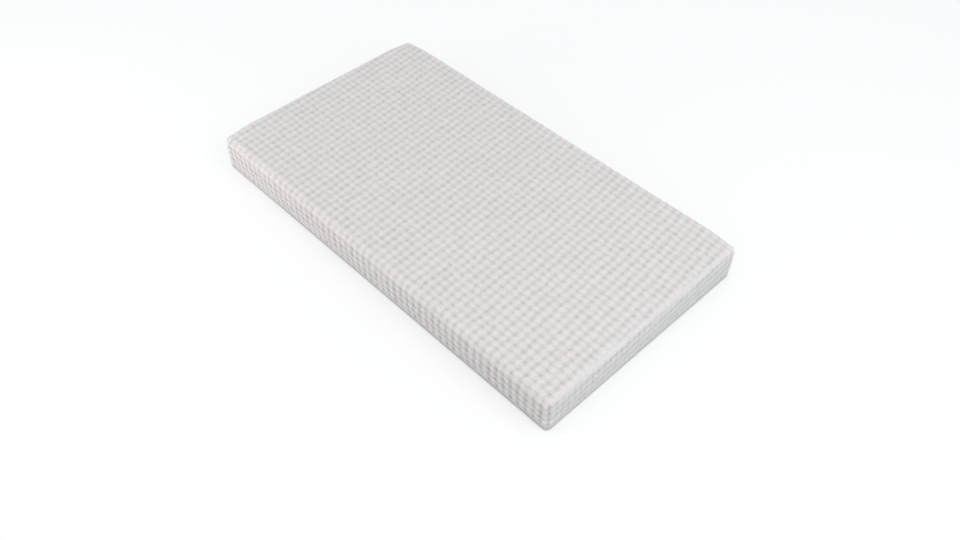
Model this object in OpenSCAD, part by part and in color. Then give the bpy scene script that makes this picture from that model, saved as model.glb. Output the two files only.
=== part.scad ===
// Layered foam mattress in a padded knit cover that unzips all round, close to its foot.
// X runs across the width, Y along the length with the head end at +Y, and Z up.
// The origin is the centre of the face that the mattress lies on.

/* [Mattress] */
// Width over the widest line of the sides
mattress_w = 1100; // [800:10:1800]
// Length over the widest line of the ends
mattress_l = 2000; // [1600:10:2200]
// Plan radius of the cover's corners at its widest line
corner_r = 25; // [22:1:80]

/* [Foam core] */
// Height of the support core
core_h = 78; // [50:1:120]
// Height of the transition layer
transition_h = 40; // [30:1:80]
// Height of the visco layer at its crown
visco_h = 50; // [40:1:80]
// Width of the firm rails along both sides
side_rail_w = 80; // [50:1:140]
// Width of the firm rails across both ends
end_rail_w = 70; // [50:1:140]

/* [Foam cuts] */
// Width of the air channels under the support core
channel_w = 14; // [6:1:30]
// Depth of the air channels
channel_depth = 24; // [10:1:40]
// Spacing of the air channels along the mattress
channel_pitch = 115; // [60:5:200]
// Width of the cuts that part the transition layer into cells
cut_w = 6; // [3:1:12]
// Depth of those cuts
cut_depth = 20; // [8:1:26]
// Wanted size of a cell
cell_size = 114; // [80:2:240]

/* [Padded cover] */
// Thickness of the padded knit on top
cover_t = 8; // [4:0.5:12]
// Thickness of the knit at its hem
hem_t = 4.3; // [3:0.1:7]
// Radius of the soft top edge
edge_r = 26; // [20:1:40]
// Rise of the top from its rim to its middle
crown_h = 4; // [1:0.5:12]
// How far the sides draw in from their widest line to the hem
draw_in = 3; // [2:0.5:12]
// Thickness of the sewn fold inside each upright corner
seam_t = 2.4; // [1.5:0.1:4]
// Depth of that fold
seam_w = 5; // [3:0.5:8]

/* [Base cover] */
// Thickness of the base panel
base_t = 3; // [2:0.5:6]
// Radius of the base panel's lower edge
base_edge_r = 2.5; // [1:0.5:5]
// Height of the border's upper hem above the floor
rim_h = 9; // [7:0.5:20]

/* [Zip] */
// Width of the open strip between the two hems
hem_gap = 10; // [9:0.5:16]
// Width of each half of the zip's tape
tape_w = 12; // [10:0.5:20]
// Thickness of the tape
tape_t = 1; // [0.6:0.1:1.6]
// Width of the coil on each half
coil_w = 1.8; // [1.4:0.1:2.2]
// Thickness of the coil
coil_t = 2; // [1.4:0.1:3]
// Gap between the two coils, where the slider's divider runs
coil_gap = 1.4; // [1.1:0.1:2]
// Distance from the foot end to the place where the slider is parked
park_from_end = 200; // [150:5:400]
// Length of coil left free on the lower half, where the slider is parked
coil_tail = 44; // [34:1:80]
// Distance from that tail to the place where the zip begins
zip_parting = 30; // [15:1:60]
// Length of a stop at the end of a coil
stop_l = 4; // [2:0.5:8]

/* [Slider] */
// Length of the slider
slider_l = 16; // [12:0.5:24]
// Width of the slider at its mouth
slider_w = 8.6; // [7.6:0.1:8.8]
// Width of the slider at its tail
slider_tail_w = 7.8; // [7.6:0.1:8.8]
// Thickness of the slider's two plates
plate_t = 1; // [0.6:0.1:1.4]
// Length of the divider between the plates
divider_l = 4; // [2:0.5:6]
// Diameter of the bar that carries the pull
bar_d = 1.2; // [0.8:0.1:1.6]
// Thickness of the lugs at both ends of the bar
lug_t = 0.9; // [0.6:0.1:1.2]
// Length of the lugs along the slider
lug_l = 3; // [2.6:0.1:5]
// Length of the pull from the bar to its tip
pull_l = 20; // [14:1:30]
// Width of the pull
pull_w = 6; // [4.6:0.1:8]
// Thickness of the pull
pull_t = 1.2; // [0.8:0.1:1.6]
// Wall of the pull's eye round the bar
eye_wall = 0.7; // [0.5:0.1:1]
// Width of the pull's eye between the lugs
eye_w = 3; // [2:0.1:4]
// Diameter of the grip hole in the pull
grip_d = 3; // [2:0.5:4]

/* [Clearances] */
// Gap between the foam and the cover that slips over it
fit_gap = 0.5; // [0.3:0.1:1.5]
// Gap round the zip's coils and tapes inside the slider
slider_gap = 0.35; // [0.25:0.05:0.5]
// Radial gap of the pull's eye on its bar
bar_gap = 0.06; // [0.03:0.01:0.1]
// Gap between a sewn fold and the rounded corner that it lies in
seam_gap = 0.3; // [0.2:0.05:0.6]

/* [Hidden] */

// Number of straight runs that make up a rounded corner and a rounded edge
corner_steps = 6;
edge_steps = 5;
// Share of the half width over which the top rises, and its rings of points
crown_span = 0.92;
crown_rings = 4;
crown_places = [for (k = [1:crown_rings]) crown_span * k / crown_rings];
// Smallest plan radius of a ring of points
ring_r_min = 4;
// Overlap of a cutter past the face that it leaves through
past = 1;
// Upright land left above the base panel's rounded edge
panel_land = 0.2;

// Insets, counted inwards from the widest line of the cover
hem_inset = draw_in + hem_t;
tape_inset = hem_inset + tape_t;
foam_inset = tape_inset + plate_t + 2 * slider_gap;
lining_inset = foam_inset - fit_gap;
lining_edge_r = edge_r - cover_t;
lining_corner_r = corner_r - lining_inset;
// The foam's corners leave room for the sewn folds inside the cover's corners
corner_share = sqrt(2) - 1;
corner_room = seam_w + seam_gap + fit_gap - fit_gap * sqrt(2);
foam_corner_r = lining_corner_r + corner_room / corner_share;

// Heights
foam_z = base_t + fit_gap;
transition_z = foam_z + core_h;
visco_z = transition_z + transition_h;
visco_top = visco_z + visco_h;
lining_top = visco_top + fit_gap;
mattress_h = lining_top + cover_t;
hem_z = rim_h + hem_gap;
zip_z = rim_h + hem_gap / 2;
tape_low_z = max(base_t, zip_z - coil_gap / 2 - tape_w);
tape_high_z = zip_z + coil_gap / 2 + tape_w;

// Inside of the rails
core_w = mattress_w - 2 * (foam_inset + side_rail_w);
core_l = mattress_l - 2 * (foam_inset + end_rail_w);

// Places along the right-hand side, where the zip begins and ends
park_y = -mattress_l / 2 + park_from_end;
tail_y = park_y - coil_tail / 2;
upper_end_y = park_y + coil_tail / 2;
zip_start_y = tail_y - zip_parting;

// Distances from the middle of the zip to its coils
coil_near = coil_gap / 2;
coil_far = coil_near + coil_w;

// Places across the zip, at the right-hand side
back_plate_x = side_x(foam_inset - slider_gap);
coil_x = side_x(hem_inset);
front_plate_x = coil_x + coil_t + slider_gap;
plate_face_x = front_plate_x + plate_t;
eye_r = bar_d / 2 + bar_gap + eye_wall;
bar_x = plate_face_x + slider_gap + eye_r;
lug_x = bar_x + bar_d / 2 + lug_t;

knit_white = "#E9E6E4";
base_grey = "#D9D9D7";
tape_white = "#F1F0EE";
coil_white = "#E4E4E2";
metal_grey = "#C9CBCE";
visco_cream = "#F3EBD6";
transition_white = "#F4F3EF";
core_blue = "#C9D9E6";
rail_grey = "#BFC6CB";
thread_white = "#DDDAD8";

function side_x(inset) = mattress_w / 2 - inset;

// Plan radius of the cover at an inset from its widest line
function cover_r(inset) = max(corner_r - inset, ring_r_min);

// Plan radius of the foam at an inset from its side
function foam_r(inset) = max(foam_corner_r - inset, ring_r_min);

// Rounded rectangle, counter-clockwise from the right-hand side's head end
function outline(inset, r, z) = [
    for (corner = [0:3], step = [0:corner_steps])
        let (
            side = corner == 0 || corner == 3 ? 1 : -1,
            end = corner < 2 ? 1 : -1,
            angle = 90 * (corner + step / corner_steps)
        )
        [
            side * (mattress_w / 2 - inset - r) + r * cos(angle),
            end * (mattress_l / 2 - inset - r) + r * sin(angle),
            z
        ]
];

function cover_ring(inset, z) = outline(inset, cover_r(inset), z);

function foam_ring(inset, z) = outline(foam_inset + inset, foam_r(inset), z);

// Inset and height of a ring on the crowned top, at a share of the half width
function crown_inset(share, rim_inset) = rim_inset + share * (mattress_w / 2 - rim_inset);

function crown_z(share, top_z) = top_z - crown_h * pow(1 - share / crown_span, 2);

// Inset and height along a rounded top edge, from its foot to its rim
function edge_point(step, inset, r, top_z) =
    let (angle = 90 * step / edge_steps)
    [inset + r * (1 - cos(angle)), top_z - crown_h - r * (1 - sin(angle))];

// Drawn-in line of the cover's side, from the hem to the widest line
function side_point(share) =
    let (low = hem_z, high = mattress_h - crown_h - edge_r)
    [draw_in * (1 - sin(90 * share)), low + share * (high - low)];

// Open run round the mattress, from one place on the right-hand side to another
function zip_run(inset, z, from_y, to_y) = concat(
    [[side_x(inset), from_y, z]],
    cover_ring(inset, z),
    [[side_x(inset), to_y, z]]
);

// Two triangles for each gap between neighbouring points of two rings
function band(low, high, count) = [
    for (k = [0:count - 1])
        let (next = (k + 1) % count)
        each [
            [low + k, high + k, high + next],
            [low + k, high + next, low + next]
        ]
];

// Skin over rings from first to last, with flat ends
module skin(rings) {
    count = len(rings[0]);
    last = (len(rings) - 1) * count;
    polyhedron(
        points = [for (ring = rings) each ring],
        faces = concat(
            [[for (k = [0:count - 1]) k]],
            [for (i = [0:len(rings) - 2]) each band(i * count, (i + 1) * count, count)],
            [[for (k = [count - 1:-1:0]) last + k]]
        )
    );
}

// Hoop round the mattress, of a rectangular section between two insets
module hoop(outer, inner, low, high) {
    rings = [
        cover_ring(inner, low),
        cover_ring(outer, low),
        cover_ring(outer, high),
        cover_ring(inner, high)
    ];
    count = len(rings[0]);
    polyhedron(
        points = [for (ring = rings) each ring],
        faces = [for (i = [0:3]) each band(i * count, (i + 1) % 4 * count, count)]
    );
}

// Strip of coil round the mattress, in front of the tape
module coil_strip(low, high, from_y, to_y) {
    outer = hem_inset - coil_t;
    inner_low = zip_run(hem_inset, low, from_y, to_y);
    inner_high = zip_run(hem_inset, high, from_y, to_y);
    outer_high = zip_run(outer, high, from_y, to_y);
    outer_low = zip_run(outer, low, from_y, to_y);
    skin([
        for (k = [0:len(inner_low) - 1])
            [inner_low[k], inner_high[k], outer_high[k], outer_low[k]]
    ]);
}

// Moulded block that closes one end of a coil, starting at a place along the side
module coil_stop(low, y) {
    translate([coil_x, y, low])
        cube([coil_t, stop_l, coil_w]);
}

// Block of the foam core with the mattress's rounded corners
module foam_block(z, h) {
    translate([0, 0, z])
        linear_extrude(h)
            polygon([for (p = foam_ring(0, 0)) [p.x, p.y]]);
}

// Panel of plain woven fabric under the foam, with a rounded lower edge
module base_panel() {
    r = min(base_edge_r, base_t - panel_land);
    rounding = [
        for (step = [0:edge_steps])
            let (angle = 90 * step / edge_steps)
            [draw_in + r * (1 - sin(angle)), r * (1 - cos(angle))]
    ];
    color(base_grey)
        skin(concat(
            [for (p = rounding) cover_ring(p[0], p[1])],
            [cover_ring(draw_in, base_t)]
        ));
}

// Border of the same fabric, sewn to the panel's edge and hemmed at the zip
module base_border() {
    color(base_grey)
        hoop(draw_in, hem_inset, base_t, rim_h);
}

// Lower half of the zip's tape, sewn inside the border's hem
module zip_tape_lower() {
    color(tape_white)
        hoop(hem_inset, tape_inset, tape_low_z, zip_z - coil_near);
}

// Lower coil, with a free tail under the parked slider
module zip_coil_lower() {
    color(coil_white)
        coil_strip(zip_z - coil_far, zip_z - coil_near, tail_y, zip_start_y);
}

// Stops at both ends of the lower coil
module zip_stops_lower() {
    color(coil_white) {
        coil_stop(zip_z - coil_far, tail_y - stop_l);
        coil_stop(zip_z - coil_far, zip_start_y);
    }
}

// Slider plate seen from the front, narrower at its tail
module slider_plate(x) {
    translate([x, park_y, zip_z])
        rotate([90, 0, 90])
            linear_extrude(plate_t)
                polygon([
                    [-slider_l / 2, -slider_tail_w / 2],
                    [slider_l / 2, -slider_w / 2],
                    [slider_l / 2, slider_w / 2],
                    [-slider_l / 2, slider_tail_w / 2]
                ]);
}

// Guide wall along one edge of the slider's front plate
module slider_wall(side) {
    wall_low = coil_far + slider_gap;
    wall_high = slider_tail_w / 2;
    low = side > 0 ? wall_low : -wall_high;
    translate([coil_x + slider_gap, park_y - slider_l / 2, zip_z + low])
        cube([coil_t + plate_t, slider_l, wall_high - wall_low]);
}

// Die-cast slider, held on the coils by its two plates
module zip_slider() {
    divider_t = coil_gap - 2 * slider_gap;
    lug_reach = eye_w / 2 + slider_gap;
    color(metal_grey) {
        slider_plate(back_plate_x);
        slider_plate(front_plate_x);
        slider_wall(1);
        slider_wall(-1);
        // Divider that joins the plates at the slider's mouth
        translate([back_plate_x, park_y + slider_l / 2 - divider_l, zip_z - divider_t / 2])
            cube([plate_face_x - back_plate_x, divider_l, divider_t]);
        // Lugs and the bar between them
        for (side = [-1, 1])
            translate([
                front_plate_x,
                park_y - lug_l / 2,
                zip_z + side * (lug_reach + lug_t / 2) - lug_t / 2
            ])
                cube([lug_x - front_plate_x, lug_l, lug_t]);
        translate([bar_x, park_y, zip_z - lug_reach - lug_t / 2])
            cylinder(d = bar_d, h = 2 * lug_reach + lug_t, $fn = 48);
    }
}

// Flat pull that swings on the slider's bar
module zip_pull() {
    neck_l = norm([lug_l / 2, lug_x - bar_x]) + slider_gap;
    tip_r = pull_w / 2;
    color(metal_grey)
        difference() {
            union() {
                translate([bar_x, park_y, zip_z - eye_w / 2])
                    cylinder(r = eye_r, h = eye_w, $fn = 48);
                // Neck between the lugs
                translate([bar_x - pull_t / 2, park_y - neck_l - past, zip_z - eye_w / 2])
                    cube([pull_t, neck_l + past, eye_w]);
                // Blade with a round tip
                translate([bar_x - pull_t / 2, park_y - pull_l + tip_r, zip_z - pull_w / 2])
                    cube([pull_t, pull_l - tip_r - neck_l, pull_w]);
                translate([bar_x - pull_t / 2, park_y - pull_l + tip_r, zip_z])
                    rotate([0, 90, 0])
                        cylinder(r = tip_r, h = pull_t, $fn = 48);
            }
            translate([bar_x, park_y, zip_z - eye_w / 2 - past])
                cylinder(r = bar_d / 2 + bar_gap, h = eye_w + 2 * past, $fn = 48);
            translate([bar_x - pull_t / 2 - past, park_y - pull_l + tip_r, zip_z])
                rotate([0, 90, 0])
                    cylinder(d = grip_d, h = pull_t + 2 * past, $fn = 48);
        }
}

// Support core with air channels across its underside
module support_core() {
    channels = floor((core_l - channel_pitch) / channel_pitch);
    color(core_blue)
        difference() {
            translate([-core_w / 2, -core_l / 2, foam_z])
                cube([core_w, core_l, core_h]);
            for (i = [0:channels])
                translate([
                    -core_w / 2 - past,
                    (i - channels / 2) * channel_pitch - channel_w / 2,
                    foam_z - past
                ])
                    cube([core_w + 2 * past, channel_w, channel_depth + past]);
        }
}

// Firm rail along one side, with the mattress's rounded corners
module side_rail(side) {
    from_x = side > 0 ? core_w / 2 : -mattress_w / 2;
    color(rail_grey)
        intersection() {
            foam_block(foam_z, core_h + transition_h);
            translate([from_x, -mattress_l / 2, foam_z - past])
                cube([
                    mattress_w / 2 - core_w / 2,
                    mattress_l,
                    core_h + transition_h + 2 * past
                ]);
        }
}

module side_rail_left() {
    side_rail(-1);
}

module side_rail_right() {
    side_rail(1);
}

// Firm rail across one end, between the side rails
module end_rail(end) {
    from_y = end > 0 ? core_l / 2 : -core_l / 2 - end_rail_w;
    color(rail_grey)
        translate([-core_w / 2, from_y, foam_z])
            cube([core_w, end_rail_w, core_h + transition_h]);
}

module end_rail_head() {
    end_rail(1);
}

module end_rail_foot() {
    end_rail(-1);
}

// Transition layer, parted into cells by crossing cuts in its upper face
module transition_layer() {
    across = round(core_w / cell_size);
    along = round(core_l / cell_size);
    cut_z = visco_z - cut_depth;
    color(transition_white)
        difference() {
            translate([-core_w / 2, -core_l / 2, transition_z])
                cube([core_w, core_l, transition_h]);
            for (i = [1:across - 1])
                translate([
                    -core_w / 2 + i * core_w / across - cut_w / 2,
                    -core_l / 2 - past,
                    cut_z
                ])
                    cube([cut_w, core_l + 2 * past, cut_depth + past]);
            for (i = [1:along - 1])
                translate([
                    -core_w / 2 - past,
                    -core_l / 2 + i * core_l / along - cut_w / 2,
                    cut_z
                ])
                    cube([core_w + 2 * past, cut_w, cut_depth + past]);
        }
}

// Crowned visco layer with soft top edges
module visco_layer() {
    edge = [for (step = [0:edge_steps]) edge_point(step, 0, lining_edge_r, visco_top)];
    color(visco_cream)
        skin(concat(
            [foam_ring(0, visco_z)],
            [for (p = edge) foam_ring(p[0], p[1])],
            [
                for (share = crown_places)
                    foam_ring(
                        crown_inset(share, foam_inset + lining_edge_r) - foam_inset,
                        crown_z(share, visco_top)
                    )
            ]
        ));
}

// Padded knit over the top and down the sides, with drawn-in sides and a crowned top
module cover_top() {
    lining_edge = [
        for (step = [edge_steps:-1:0])
            edge_point(step, lining_inset, lining_edge_r, lining_top)
    ];
    side = [for (share = [0:0.2:0.8]) side_point(share)];
    edge = [for (step = [0:edge_steps]) edge_point(step, 0, edge_r, mattress_h)];
    color(knit_white)
        skin(concat(
            [
                for (k = [crown_rings - 1:-1:0])
                    cover_ring(
                        crown_inset(crown_places[k], lining_inset + lining_edge_r),
                        crown_z(crown_places[k], lining_top)
                    )
            ],
            [for (p = lining_edge) cover_ring(p[0], p[1])],
            [
                cover_ring(lining_inset, tape_high_z),
                cover_ring(hem_inset, tape_high_z),
                cover_ring(hem_inset, hem_z)
            ],
            [for (p = side) cover_ring(p[0], p[1])],
            [for (p = edge) cover_ring(p[0], p[1])],
            [
                for (share = crown_places)
                    cover_ring(crown_inset(share, edge_r), crown_z(share, mattress_h))
            ]
        ));
}

// Sewn folds of the knit inside the four upright corners
module corner_seams() {
    fold_top = lining_top - crown_h - lining_edge_r;
    fold_out = lining_corner_r - seam_gap;
    color(thread_white)
        for (side = [-1, 1], end = [-1, 1])
            translate([
                side * (mattress_w / 2 - corner_r),
                end * (mattress_l / 2 - corner_r),
                tape_high_z
            ])
                rotate(atan2(end, side))
                    translate([fold_out - seam_w, -seam_t / 2, 0])
                        cube([seam_w, seam_t, fold_top - tape_high_z]);
}

// Upper half of the zip's tape, sewn inside the padded cover's hem
module zip_tape_upper() {
    color(tape_white)
        hoop(hem_inset, tape_inset, zip_z + coil_near, tape_high_z);
}

// Upper coil, which ends short of the parked slider
module zip_coil_upper() {
    color(coil_white)
        coil_strip(zip_z + coil_near, zip_z + coil_far, upper_end_y, zip_start_y);
}

// Stop at the beginning of the upper coil
module zip_stop_upper() {
    color(coil_white)
        coil_stop(zip_z + coil_near, zip_start_y);
}

base_panel();
base_border();
zip_tape_lower();
zip_coil_lower();
zip_stops_lower();
zip_slider();
zip_pull();
support_core();
side_rail_left();
side_rail_right();
end_rail_head();
end_rail_foot();
transition_layer();
visco_layer();
cover_top();
corner_seams();
zip_tape_upper();
zip_coil_upper();
zip_stop_upper();
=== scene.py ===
import math

import bmesh
import bpy
import numpy as np
from mathutils import Matrix, Vector


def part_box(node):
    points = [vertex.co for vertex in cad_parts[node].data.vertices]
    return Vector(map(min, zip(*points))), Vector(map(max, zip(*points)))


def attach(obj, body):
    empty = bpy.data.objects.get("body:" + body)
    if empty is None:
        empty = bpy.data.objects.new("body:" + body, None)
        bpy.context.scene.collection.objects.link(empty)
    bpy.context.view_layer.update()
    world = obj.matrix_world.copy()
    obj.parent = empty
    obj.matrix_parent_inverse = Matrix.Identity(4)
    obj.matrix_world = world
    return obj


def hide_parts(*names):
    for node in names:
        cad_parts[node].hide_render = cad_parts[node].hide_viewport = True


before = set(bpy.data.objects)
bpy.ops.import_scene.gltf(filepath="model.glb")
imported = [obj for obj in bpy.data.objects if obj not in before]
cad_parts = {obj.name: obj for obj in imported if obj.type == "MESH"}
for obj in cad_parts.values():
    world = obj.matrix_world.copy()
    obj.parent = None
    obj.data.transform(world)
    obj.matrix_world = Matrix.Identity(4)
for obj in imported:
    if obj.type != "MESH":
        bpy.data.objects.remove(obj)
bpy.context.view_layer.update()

# Base panel
# A panel of plain woven polyester that the foam lies on, cut with rounded corners. Its edge is
# turned under, and sewn to the border that carries the lower half of the zip.
half_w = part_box("cover_top")[1].x
half_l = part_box("cover_top")[1].y
corner_r = 0.025
corner_steps = 8
panel_low, panel_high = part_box("base_panel")
panel_edge_r = 0.0025
panel_edge_steps = 4
base_thread_w = 0.0009


def clear_selection():
    if bpy.context.object and bpy.context.object.mode != "OBJECT":
        bpy.ops.object.mode_set(mode="OBJECT")
    bpy.ops.object.select_all(action="DESELECT")


def choose(piece):
    clear_selection()
    piece.select_set(True)
    bpy.context.view_layer.objects.active = piece


def get_points(piece):
    points = np.empty(3 * len(piece.data.vertices))
    piece.data.vertices.foreach_get("co", points)
    return points.reshape(-1, 3)


def set_points(piece, points):
    piece.data.vertices.foreach_set("co", np.asarray(points).ravel())
    piece.data.update()


def start_outline(name):
    """Flat face with the mattress's outline at its widest line, left in edit mode."""
    clear_selection()
    bpy.ops.mesh.primitive_plane_add(size=2)
    piece = bpy.context.object
    piece.name = name
    piece.scale = (half_w, half_l, 1)
    bpy.ops.object.transform_apply(scale=True)
    bpy.ops.object.mode_set(mode="EDIT")
    bpy.ops.mesh.bevel(affect="VERTICES", offset=corner_r, segments=corner_steps)
    bpy.ops.mesh.select_all(action="SELECT")
    return piece


def inset_points(x, y, inset):
    """Moves points of the outline inwards, square to it."""
    core_x = np.clip(x, corner_r - half_w, half_w - corner_r)
    core_y = np.clip(y, corner_r - half_l, half_l - corner_r)
    reach = np.hypot(x - core_x, y - core_y)
    share = (corner_r - inset) / np.maximum(reach, 1e-9)
    return core_x + (x - core_x) * share, core_y + (y - core_y) * share


def clean_mesh(piece, smooth_angle=40):
    """Merges doubles, turns the faces outwards and shades the piece."""
    choose(piece)
    bpy.ops.object.mode_set(mode="EDIT")
    bpy.ops.mesh.select_all(action="SELECT")
    bpy.ops.mesh.remove_doubles(threshold=0.00001)
    bpy.ops.mesh.normals_make_consistent(inside=False)
    bpy.ops.object.mode_set(mode="OBJECT")
    bpy.ops.object.shade_smooth_by_angle(angle=math.radians(smooth_angle))


def fit(piece, finish, body, slot, *nodes):
    """Gives a piece its finish, and puts it on a body in place of its nodes."""
    piece.data.materials.clear()
    piece.data.materials.append(finish.material)
    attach(piece, body)
    if nodes:
        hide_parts(*nodes)


class Wire:
    """Output of a shader node. Arithmetic on it adds Math nodes to its tree."""

    def __init__(self, tree, socket):
        self.tree = tree
        self.socket = socket

    def math(self, operation, *values):
        inputs = dict(enumerate(values))
        return self.tree.add("ShaderNodeMath", {"operation": operation}, inputs)

    def __add__(self, other):
        return self.math("ADD", self, other)

    def __radd__(self, other):
        return self.math("ADD", other, self)

    def __sub__(self, other):
        return self.math("SUBTRACT", self, other)

    def __rsub__(self, other):
        return self.math("SUBTRACT", other, self)

    def __mul__(self, other):
        return self.math("MULTIPLY", self, other)

    def __rmul__(self, other):
        return self.math("MULTIPLY", other, self)

    def __truediv__(self, other):
        return self.math("DIVIDE", self, other)

    def __pow__(self, other):
        return self.math("POWER", self, other)

    def sine(self, length):
        """Wave of a given length along this value."""
        return self.math("SINE", self * (2 * math.pi / length))

    def ramp(self, start, end):
        """Rises from 0 at start to 1 at end."""
        inputs = {"Value": self, "From Min": start, "From Max": end}
        settings = {"clamp": True, "interpolation_type": "SMOOTHSTEP"}
        return self.tree.add("ShaderNodeMapRange", settings, inputs)


class Shading:
    """Node tree, with one method that adds any node."""

    def __init__(self, nodes):
        self.nodes = nodes

    def link(self, socket, value):
        if isinstance(value, Wire):
            self.nodes.links.new(value.socket, socket)
        else:
            socket.default_value = value

    def add(self, kind, settings=None, inputs=None, output=0):
        node = self.nodes.nodes.new(kind)
        for name, value in (settings or {}).items():
            setattr(node, name, value)
        for name, value in (inputs or {}).items():
            self.link(node.inputs[name], value)
        return Wire(self, node.outputs[output])


class Finish(Shading):
    """Material with one Principled shader."""

    def __init__(self, name, **sockets):
        self.material = bpy.data.materials.new(name)
        self.material.use_nodes = True
        super().__init__(self.material.node_tree)
        self.shader = self.nodes.nodes["Principled BSDF"]
        for socket, value in sockets.items():
            self.set(socket.replace("_", " ").title(), value)

    def set(self, socket, value):
        self.link(self.shader.inputs[socket], value)

    def here(self):
        """Place of a point on the piece, as a vector."""
        return self.add("ShaderNodeTexCoord", output="Object")

    def split(self, vector):
        """The x, y and z of a vector."""
        return [self.add("ShaderNodeSeparateXYZ", {}, {0: vector}, output=k) for k in range(3)]

    def noise(self, place, size, detail=3.0):
        inputs = {"Vector": place, "Scale": 1 / size, "Detail": detail, "Roughness": 0.6}
        return self.add("ShaderNodeTexNoise", {}, inputs)

    def tint(self, share, first, second):
        inputs = {0: share, 6: (*first, 1), 7: (*second, 1)}
        return self.add("ShaderNodeMix", {"data_type": "RGBA"}, inputs, output=2)

    def bump(self, height, distance):
        inputs = {"Height": height, "Distance": distance}
        self.set("Normal", self.add("ShaderNodeBump", {}, inputs))


def woven_finish(name, light, dark, thread):
    """Plain weave with threads of a given width, and a little slub in them."""
    finish = Finish(name, roughness=0.85, sheen_weight=0.1, sheen_roughness=0.5)
    place = finish.here()
    x, y, z = finish.split(place)
    weave = (x + y).sine(2 * thread) * (x - y + z * 2).sine(2 * thread)
    slub = finish.noise(place, 0.02)
    finish.set("Base Color", finish.tint(weave * 0.2 + slub, light, dark))
    finish.bump(weave + slub, thread / 10)
    return finish


base_panel = start_outline("woven_base_panel")
bpy.ops.object.mode_set(mode="OBJECT")
points = get_points(base_panel)
x, y = inset_points(points[:, 0], points[:, 1], half_w - panel_high.x)
set_points(base_panel, np.stack([x, y, np.full_like(x, panel_high.z)], axis=1))
bpy.ops.object.mode_set(mode="EDIT")
panel_drop = (0, 0, panel_low.z - panel_high.z)
bpy.ops.mesh.extrude_region_move(TRANSFORM_OT_translate={"value": panel_drop})
bpy.ops.mesh.region_to_loop()
bpy.ops.mesh.bevel(offset=panel_edge_r, segments=panel_edge_steps)
clean_mesh(base_panel, 60)
base_fabric = woven_finish(
    "base_weave", (0.82, 0.81, 0.80), (0.70, 0.695, 0.685), base_thread_w
)
fit(base_panel, base_fabric, "base_cover", "base_fabric", "base_panel")

# Base border
# A narrow strip of the same fabric, folded into a hem and sewn round the panel. One row of lock
# stitches holds the lower zip tape behind it.
hem_inset = half_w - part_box("zip_tape_lower")[1].x
border_low, border_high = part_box("base_border")
border_inset = half_w - border_high.x
border_groove = 0.0019
stitch_pitch = 0.0035
stitch_l = 0.0028
stitch_d = 0.0006
stitch_sunk = 0.0002
stitch_gap = 0.002


def hoop(name, section):
    """Ring of fabric round the mattress. Its section is a loop of insets and heights."""
    piece = start_outline(name)
    bpy.ops.mesh.delete(type="ONLY_FACE")
    bpy.ops.mesh.select_all(action="SELECT")
    for _ in section:
        bpy.ops.mesh.extrude_edges_move(TRANSFORM_OT_translate={"value": (0, 0, -1)})
    bpy.ops.object.mode_set(mode="OBJECT")
    points = get_points(piece)
    row = np.rint(-points[:, 2]).astype(int) % len(section)
    inset, height = np.array(section).T[:, row]
    x, y = inset_points(points[:, 0], points[:, 1], inset)
    set_points(piece, np.stack([x, y, height], axis=1))
    clean_mesh(piece)
    return piece


def run_round(inset, z, from_y, to_y):
    """Points of a run round the mattress, from one place on its right-hand side to another."""
    radius = corner_r - inset
    run = [(half_w - inset, from_y, z)]
    for quarter in range(4):
        side = 1 if quarter in (0, 3) else -1
        end = 1 if quarter < 2 else -1
        for step in range(corner_steps + 1):
            angle = math.pi / 2 * (quarter + step / corner_steps)
            run.append((
                side * (half_w - corner_r) + radius * math.cos(angle),
                end * (half_l - corner_r) + radius * math.sin(angle),
                z,
            ))
    run.append((half_w - inset, to_y, z))
    return run


def repeat(piece, count, step):
    """Repeats a piece's mesh in a straight row."""
    choose(piece)
    row = piece.modifiers.new("row", "ARRAY")
    row.count = count
    row.use_relative_offset = False
    row.use_constant_offset = True
    row.constant_offset_displace = step
    bpy.ops.object.modifier_apply(modifier="row")


def string_along(unit, run, pitch):
    """Repeats a small piece along a run. It lies along X, and its -Y side faces outwards."""
    run = np.array(run)
    length = np.linalg.norm(np.diff(run, axis=0), axis=1).sum()
    count = round(length / pitch)
    repeat(unit, count, (length / count, 0, 0))
    path = bpy.data.curves.new("run", "CURVE")
    path.dimensions = "3D"
    path.twist_mode = "Z_UP"
    spline = path.splines.new("POLY")
    spline.points.add(len(run) - 1)
    spline.points.foreach_set("co", np.insert(run, 3, 1, axis=1).ravel())
    guide = bpy.data.objects.new("run", path)
    bpy.context.scene.collection.objects.link(guide)
    bend = unit.modifiers.new("bend", "CURVE")
    bend.object = guide
    bpy.ops.object.modifier_apply(modifier="bend")
    bpy.data.objects.remove(guide)


def stitch_row(name, run):
    """Row of lock stitches along a run."""
    clear_selection()
    bpy.ops.mesh.primitive_uv_sphere_add(segments=6, ring_count=4, radius=0.5)
    stitches = bpy.context.object
    stitches.name = name
    stitches.rotation_euler = (0, math.pi / 2, 0)
    bpy.ops.object.transform_apply(rotation=True)
    stitches.location = (stitch_pitch / 2, 0, 0)
    stitches.scale = (stitch_l, stitch_d, stitch_d)
    bpy.ops.object.transform_apply(location=True, scale=True)
    bpy.ops.object.shade_smooth()
    string_along(stitches, run, stitch_pitch)
    return stitches


# Section of the border, from its inner foot over the hem and down its outer face
base_border = hoop(
    "hemmed_base_border",
    [
        (hem_inset, border_low.z),
        (hem_inset, border_high.z - 0.0006),
        (hem_inset - 0.0008, border_high.z),
        (border_inset + 0.0014, border_high.z),
        (border_inset + 0.0004, border_high.z - 0.0004),
        (border_inset, border_high.z - 0.0012),
        (border_inset + 0.0003, border_high.z - border_groove),
        (border_inset, border_high.z - 0.0027),
        (border_inset, border_low.z + 0.0008),
        (border_inset + 0.0006, border_low.z),
    ],
)
fit(base_border, base_fabric, "base_cover", "base_fabric", "base_border")

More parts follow.
